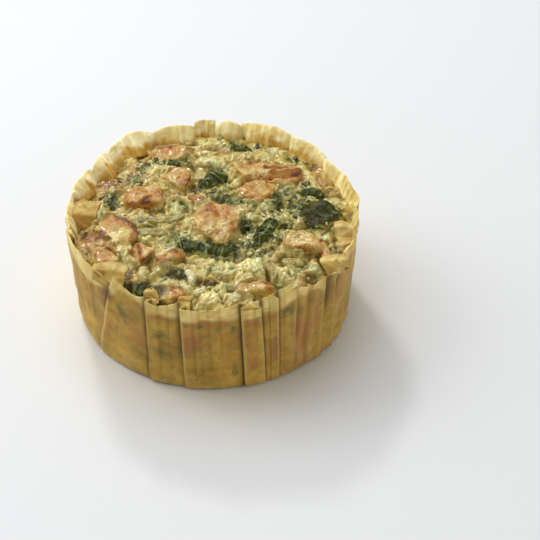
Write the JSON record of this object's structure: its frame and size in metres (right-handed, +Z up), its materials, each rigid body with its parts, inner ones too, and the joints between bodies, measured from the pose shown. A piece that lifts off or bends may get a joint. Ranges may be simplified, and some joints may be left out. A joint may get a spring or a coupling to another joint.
{
  "type": "spinach and salmon quiche in a paper case",
  "caption": "Round deep quiche of egg custard with salmon chunks, spinach leaves and leek in its top, in a pleated baking paper case.",
  "frame": {"origin": "middle of the case's underside, on the surface that the quiche stands on", "axes": "+Z up through the middle of the quiche, -Y towards the side that is seen first, +X to its right"},
  "size_m": [0.1226, 0.1236, 0.0519],
  "materials": {
    "paper": "thin greased baking paper, golden tan, semi-matt, stained by the filling behind it",
    "custard": "baked egg custard with chopped spinach, pale green-yellow, moist and lumpy",
    "salmon": "baked salmon, pale peach with browned orange corners, moist",
    "spinach": "cooked spinach leaf, very dark green, glossy",
    "leek": "soft cooked leek, pale yellow-green, glossy"
  },
  "bodies": {
    "root": {"baking_case": "paper", "salmon_centre": "salmon", "salmon_left": "salmon", "salmon_upper_left": "salmon", "salmon_back_left": "salmon", "salmon_case_left": "salmon", "salmon_low_left": "salmon", "salmon_strip": "salmon", "salmon_right": "salmon", "salmon_flake": "salmon", "salmon_front": "salmon", "salmon_front_left": "salmon", "salmon_crumb_left": "salmon", "salmon_crumb": "salmon", "spinach_right": "spinach", "spinach_upper": "spinach", "spinach_middle": "spinach", "spinach_back": "spinach", "spinach_fold": "spinach", "spinach_front_left": "spinach", "spinach_back_left": "spinach", "spinach_curl": "spinach", "leek_stick": "leek", "leek_curve": "leek", "leek_white": "leek", "leek_ring": "leek", "custard": "custard"}
  },
  "joints": []
}
